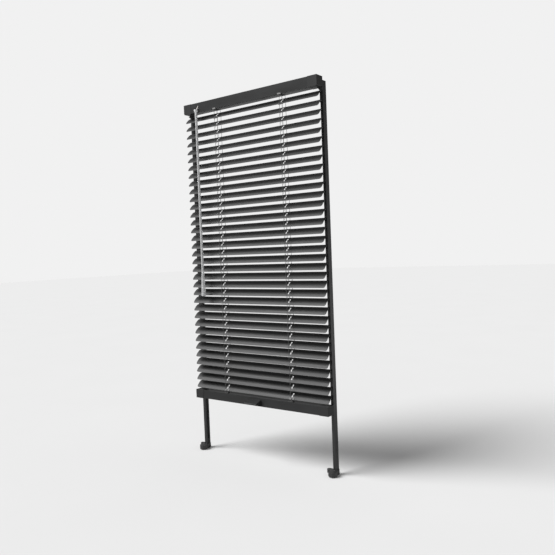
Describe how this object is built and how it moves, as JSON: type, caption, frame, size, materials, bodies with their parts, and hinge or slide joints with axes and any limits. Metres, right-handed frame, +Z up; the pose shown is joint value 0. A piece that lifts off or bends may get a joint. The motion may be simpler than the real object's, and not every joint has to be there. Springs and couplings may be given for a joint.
{
  "type": "venetian blind",
  "caption": "Cordless aluminium venetian blind in dark grey for a window sash, with crowned slats on ladders, a tilt wand, a pull-tab bottom rail and two black side rails.",
  "frame": {"origin": "midway between the two feet, at the level of their undersides and on the plane of the side rails' backs", "axes": "+X along the slats to the right seen from the room, +Y towards the glass, +Z up"},
  "size_m": [0.4629, 0.0613, 0.9605],
  "materials": {
    "rail_finish": "dark grey powder coat, satin",
    "slat_finish": "dark grey stove enamel, satin",
    "black_aluminium": "black anodised, satin",
    "dark_plastic": "matte",
    "black_plastic": "matte",
    "pale_plastic": "satin",
    "clear_plastic": "gloss",
    "steel": "satin",
    "cord": "matte"
  },
  "bodies": {
    "frame": {"headrail": "rail_finish", "end_caps": "dark_plastic", "side_rails": "black_aluminium", "rail_feet": "black_plastic", "ladder_cradles": "pale_plastic", "tilter_housing": "pale_plastic", "spring_motor": "pale_plastic", "ladder_strings": "cord", "lift_cords": "cord"},
    "tilt_rod": {"tilt_rod": "steel", "ladder_drums": "pale_plastic", "tilter_gear": "pale_plastic"},
    "tilter_worm": {"tilter_worm": "pale_plastic"},
    "wand_hook": {"wand_hook": "clear_plastic"},
    "tilt_wand": {"tilt_wand": "clear_plastic"},
    "bottom_rail": {"bottom_rail": "rail_finish", "bottom_rail_caps": "dark_plastic", "pull_tab": "dark_plastic", "ladder_plugs": "black_plastic"},
    "cord_spool": {"cord_spool": "pale_plastic"},
    "ladder_bay_32": {"ladder_bay_32": "cord"},
    "ladder_bay_33": {"ladder_bay_33": "cord"},
    "ladder_bay_34": {"ladder_bay_34": "cord"},
    "slat_01": {"slat_01": "slat_finish", "first_slat_clips": "black_plastic"},
    "slat_02": {"slat_02": "slat_finish"},
    "slat_03": {"slat_03": "slat_finish"},
    "slat_04": {"slat_04": "slat_finish"},
    "slat_05": {"slat_05": "slat_finish"},
    "slat_06": {"slat_06": "slat_finish"},
    "slat_07": {"slat_07": "slat_finish"},
    "slat_08": {"slat_08": "slat_finish"},
    "slat_09": {"slat_09": "slat_finish"},
    "slat_10": {"slat_10": "slat_finish"},
    "slat_11": {"slat_11": "slat_finish"},
    "slat_12": {"slat_12": "slat_finish"},
    "slat_13": {"slat_13": "slat_finish"},
    "slat_14": {"slat_14": "slat_finish"},
    "slat_15": {"slat_15": "slat_finish"},
    "slat_16": {"slat_16": "slat_finish"},
    "slat_17": {"slat_17": "slat_finish"},
    "slat_18": {"slat_18": "slat_finish"},
    "slat_19": {"slat_19": "slat_finish"},
    "slat_20": {"slat_20": "slat_finish"},
    "slat_21": {"slat_21": "slat_finish"},
    "slat_22": {"slat_22": "slat_finish"},
    "slat_23": {"slat_23": "slat_finish"},
    "slat_24": {"slat_24": "slat_finish"},
    "slat_25": {"slat_25": "slat_finish"},
    "slat_26": {"slat_26": "slat_finish"},
    "slat_27": {"slat_27": "slat_finish"},
    "slat_28": {"slat_28": "slat_finish"},
    "slat_29": {"slat_29": "slat_finish"},
    "slat_30": {"slat_30": "slat_finish"},
    "slat_31": {"slat_31": "slat_finish"},
    "slat_32": {"slat_32": "slat_finish"},
    "slat_33": {"slat_33": "slat_finish"},
    "slat_34": {"slat_34": "slat_finish"},
    "slat_35": {"slat_35": "slat_finish", "last_slat_clips": "black_plastic"}
  },
  "joints": [
    {"name": "lift", "type": "slide", "parent": "frame", "child": "bottom_rail", "axis": [0, 0, 1], "range_m": [0, 0.067], "deforming": ["ladder_strings", "ladder_bay_32", "ladder_bay_33", "ladder_bay_34", "lift_cords"]},
    {"name": "lift_slat_32", "type": "slide", "parent": "frame", "child": "ladder_bay_32", "axis": [0, 0, 1], "range_m": [0, 0.0185]},
    {"name": "lift_slat_33", "type": "slide", "parent": "frame", "child": "ladder_bay_33", "axis": [0, 0, 1], "range_m": [0, 0.037]},
    {"name": "lift_slat_34", "type": "slide", "parent": "frame", "child": "ladder_bay_34", "axis": [0, 0, 1], "range_m": [0, 0.0555]},
    {"name": "spool_spin", "type": "hinge", "parent": "frame", "child": "cord_spool", "pos_m": [0, -0.02775, 0.9405], "axis": [0, 0, 1], "range_deg": [0, 860]},
    {"name": "tilt", "type": "hinge", "parent": "frame", "child": "tilt_rod", "pos_m": [0, -0.02775, 0.9505], "axis": [1, 0, 0], "range_deg": [-110, 26]},
    {"name": "tilt_slat_01", "type": "hinge", "parent": "frame", "child": "slat_01", "pos_m": [0, -0.02825, 0.9203], "axis": [1, 0, 0], "range_deg": [-110, 26]},
    {"name": "tilt_slat_02", "type": "hinge", "parent": "frame", "child": "slat_02", "pos_m": [0, -0.02825, 0.8988], "axis": [1, 0, 0], "range_deg": [-110, 26]},
    {"name": "tilt_slat_03", "type": "hinge", "parent": "frame", "child": "slat_03", "pos_m": [0, -0.02825, 0.8773], "axis": [1, 0, 0], "range_deg": [-110, 26]},
    {"name": "tilt_slat_04", "type": "hinge", "parent": "frame", "child": "slat_04", "pos_m": [0, -0.02825, 0.8558], "axis": [1, 0, 0], "range_deg": [-110, 26]},
    {"name": "tilt_slat_05", "type": "hinge", "parent": "frame", "child": "slat_05", "pos_m": [0, -0.02825, 0.8343], "axis": [1, 0, 0], "range_deg": [-110, 26]},
    {"name": "tilt_slat_06", "type": "hinge", "parent": "frame", "child": "slat_06", "pos_m": [0, -0.02825, 0.8128], "axis": [1, 0, 0], "range_deg": [-110, 26]},
    {"name": "tilt_slat_07", "type": "hinge", "parent": "frame", "child": "slat_07", "pos_m": [0, -0.02825, 0.7913], "axis": [1, 0, 0], "range_deg": [-110, 26]},
    {"name": "tilt_slat_08", "type": "hinge", "parent": "frame", "child": "slat_08", "pos_m": [0, -0.02825, 0.7698], "axis": [1, 0, 0], "range_deg": [-110, 26]},
    {"name": "tilt_slat_09", "type": "hinge", "parent": "frame", "child": "slat_09", "pos_m": [0, -0.02825, 0.7483], "axis": [1, 0, 0], "range_deg": [-110, 26]},
    {"name": "tilt_slat_10", "type": "hinge", "parent": "frame", "child": "slat_10", "pos_m": [0, -0.02825, 0.7268], "axis": [1, 0, 0], "range_deg": [-110, 26]},
    {"name": "tilt_slat_11", "type": "hinge", "parent": "frame", "child": "slat_11", "pos_m": [0, -0.02825, 0.7053], "axis": [1, 0, 0], "range_deg": [-110, 26]},
    {"name": "tilt_slat_12", "type": "hinge", "parent": "frame", "child": "slat_12", "pos_m": [0, -0.02825, 0.6838], "axis": [1, 0, 0], "range_deg": [-110, 26]},
    {"name": "tilt_slat_13", "type": "hinge", "parent": "frame", "child": "slat_13", "pos_m": [0, -0.02825, 0.6623], "axis": [1, 0, 0], "range_deg": [-110, 26]},
    {"name": "tilt_slat_14", "type": "hinge", "parent": "frame", "child": "slat_14", "pos_m": [0, -0.02825, 0.6408], "axis": [1, 0, 0], "range_deg": [-110, 26]},
    {"name": "tilt_slat_15", "type": "hinge", "parent": "frame", "child": "slat_15", "pos_m": [0, -0.02825, 0.6193], "axis": [1, 0, 0], "range_deg": [-110, 26]},
    {"name": "tilt_slat_16", "type": "hinge", "parent": "frame", "child": "slat_16", "pos_m": [0, -0.02825, 0.5978], "axis": [1, 0, 0], "range_deg": [-110, 26]},
    {"name": "tilt_slat_17", "type": "hinge", "parent": "frame", "child": "slat_17", "pos_m": [0, -0.02825, 0.5763], "axis": [1, 0, 0], "range_deg": [-110, 26]},
    {"name": "tilt_slat_18", "type": "hinge", "parent": "frame", "child": "slat_18", "pos_m": [0, -0.02825, 0.5548], "axis": [1, 0, 0], "range_deg": [-110, 26]},
    {"name": "tilt_slat_19", "type": "hinge", "parent": "frame", "child": "slat_19", "pos_m": [0, -0.02825, 0.5333], "axis": [1, 0, 0], "range_deg": [-110, 26]},
    {"name": "tilt_slat_20", "type": "hinge", "parent": "frame", "child": "slat_20", "pos_m": [0, -0.02825, 0.5118], "axis": [1, 0, 0], "range_deg": [-110, 26]},
    {"name": "tilt_slat_21", "type": "hinge", "parent": "frame", "child": "slat_21", "pos_m": [0, -0.02825, 0.4903], "axis": [1, 0, 0], "range_deg": [-110, 26]},
    {"name": "tilt_slat_22", "type": "hinge", "parent": "frame", "child": "slat_22", "pos_m": [0, -0.02825, 0.4688], "axis": [1, 0, 0], "range_deg": [-110, 26]},
    {"name": "tilt_slat_23", "type": "hinge", "parent": "frame", "child": "slat_23", "pos_m": [0, -0.02825, 0.4473], "axis": [1, 0, 0], "range_deg": [-110, 26]},
    {"name": "tilt_slat_24", "type": "hinge", "parent": "frame", "child": "slat_24", "pos_m": [0, -0.02825, 0.4258], "axis": [1, 0, 0], "range_deg": [-110, 26]},
    {"name": "tilt_slat_25", "type": "hinge", "parent": "frame", "child": "slat_25", "pos_m": [0, -0.02825, 0.4043], "axis": [1, 0, 0], "range_deg": [-110, 26]},
    {"name": "tilt_slat_26", "type": "hinge", "parent": "frame", "child": "slat_26", "pos_m": [0, -0.02825, 0.3828], "axis": [1, 0, 0], "range_deg": [-110, 26]},
    {"name": "tilt_slat_27", "type": "hinge", "parent": "frame", "child": "slat_27", "pos_m": [0, -0.02825, 0.3613], "axis": [1, 0, 0], "range_deg": [-110, 26]},
    {"name": "tilt_slat_28", "type": "hinge", "parent": "frame", "child": "slat_28", "pos_m": [0, -0.02825, 0.3398], "axis": [1, 0, 0], "range_deg": [-110, 26]},
    {"name": "tilt_slat_29", "type": "hinge", "parent": "frame", "child": "slat_29", "pos_m": [0, -0.02825, 0.3183], "axis": [1, 0, 0], "range_deg": [-110, 26]},
    {"name": "tilt_slat_30", "type": "hinge", "parent": "frame", "child": "slat_30", "pos_m": [0, -0.02825, 0.2968], "axis": [1, 0, 0], "range_deg": [-110, 26]},
    {"name": "tilt_slat_31", "type": "hinge", "parent": "frame", "child": "slat_31", "pos_m": [0, -0.02825, 0.2753], "axis": [1, 0, 0], "range_deg": [-110, 26]},
    {"name": "tilt_slat_32", "type": "hinge", "parent": "ladder_bay_32", "child": "slat_32", "pos_m": [0, -0.02825, 0.2538], "axis": [1, 0, 0], "range_deg": [-110, 26]},
    {"name": "tilt_slat_33", "type": "hinge", "parent": "ladder_bay_33", "child": "slat_33", "pos_m": [0, -0.02825, 0.2323], "axis": [1, 0, 0], "range_deg": [-110, 26]},
    {"name": "tilt_slat_34", "type": "hinge", "parent": "ladder_bay_34", "child": "slat_34", "pos_m": [0, -0.02825, 0.2108], "axis": [1, 0, 0], "range_deg": [-110, 26]},
    {"name": "tilt_slat_35", "type": "hinge", "parent": "bottom_rail", "child": "slat_35", "pos_m": [0, -0.02825, 0.1893], "axis": [1, 0, 0], "range_deg": [-110, 26]},
    {"name": "worm_spin", "type": "hinge", "parent": "frame", "child": "tilter_worm", "pos_m": [-0.166, -0.04725, 0.938], "axis": [0, 0.5878, 0.809], "range_deg": [-1540, 364]},
    {"name": "wand_swing", "type": "hinge", "parent": "frame", "child": "wand_hook", "pos_m": [-0.166, -0.04725, 0.938], "axis": [-1, 0, 0], "range_deg": [0, 55]},
    {"name": "wand_spin", "type": "hinge", "parent": "wand_hook", "child": "tilt_wand", "pos_m": [-0.166, -0.04725, 0.838], "axis": [0, 0, 1], "range_deg": [-1540, 364]}
  ],
  "couplings": [
    {"joint": "lift_slat_32", "follows": "lift", "ratio": 0.2761},
    {"joint": "lift_slat_33", "follows": "lift", "ratio": 0.5522},
    {"joint": "lift_slat_34", "follows": "lift", "ratio": 0.8283},
    {"joint": "spool_spin", "follows": "lift", "rad_per_m": 222},
    {"joint": "tilt_slat_01", "follows": "tilt", "ratio": 1},
    {"joint": "tilt_slat_02", "follows": "tilt", "ratio": 1},
    {"joint": "tilt_slat_03", "follows": "tilt", "ratio": 1},
    {"joint": "tilt_slat_04", "follows": "tilt", "ratio": 1},
    {"joint": "tilt_slat_05", "follows": "tilt", "ratio": 1},
    {"joint": "tilt_slat_06", "follows": "tilt", "ratio": 1},
    {"joint": "tilt_slat_07", "follows": "tilt", "ratio": 1},
    {"joint": "tilt_slat_08", "follows": "tilt", "ratio": 1},
    {"joint": "tilt_slat_09", "follows": "tilt", "ratio": 1},
    {"joint": "tilt_slat_10", "follows": "tilt", "ratio": 1},
    {"joint": "tilt_slat_11", "follows": "tilt", "ratio": 1},
    {"joint": "tilt_slat_12", "follows": "tilt", "ratio": 1},
    {"joint": "tilt_slat_13", "follows": "tilt", "ratio": 1},
    {"joint": "tilt_slat_14", "follows": "tilt", "ratio": 1},
    {"joint": "tilt_slat_15", "follows": "tilt", "ratio": 1},
    {"joint": "tilt_slat_16", "follows": "tilt", "ratio": 1},
    {"joint": "tilt_slat_17", "follows": "tilt", "ratio": 1},
    {"joint": "tilt_slat_18", "follows": "tilt", "ratio": 1},
    {"joint": "tilt_slat_19", "follows": "tilt", "ratio": 1},
    {"joint": "tilt_slat_20", "follows": "tilt", "ratio": 1},
    {"joint": "tilt_slat_21", "follows": "tilt", "ratio": 1},
    {"joint": "tilt_slat_22", "follows": "tilt", "ratio": 1},
    {"joint": "tilt_slat_23", "follows": "tilt", "ratio": 1},
    {"joint": "tilt_slat_24", "follows": "tilt", "ratio": 1},
    {"joint": "tilt_slat_25", "follows": "tilt", "ratio": 1},
    {"joint": "tilt_slat_26", "follows": "tilt", "ratio": 1},
    {"joint": "tilt_slat_27", "follows": "tilt", "ratio": 1},
    {"joint": "tilt_slat_28", "follows": "tilt", "ratio": 1},
    {"joint": "tilt_slat_29", "follows": "tilt", "ratio": 1},
    {"joint": "tilt_slat_30", "follows": "tilt", "ratio": 1},
    {"joint": "tilt_slat_31", "follows": "tilt", "ratio": 1},
    {"joint": "tilt_slat_32", "follows": "tilt", "ratio": 1},
    {"joint": "tilt_slat_33", "follows": "tilt", "ratio": 1},
    {"joint": "tilt_slat_34", "follows": "tilt", "ratio": 1},
    {"joint": "tilt_slat_35", "follows": "tilt", "ratio": 1},
    {"joint": "worm_spin", "follows": "tilt", "ratio": 14},
    {"joint": "wand_spin", "follows": "tilt", "ratio": 14}
  ]
}
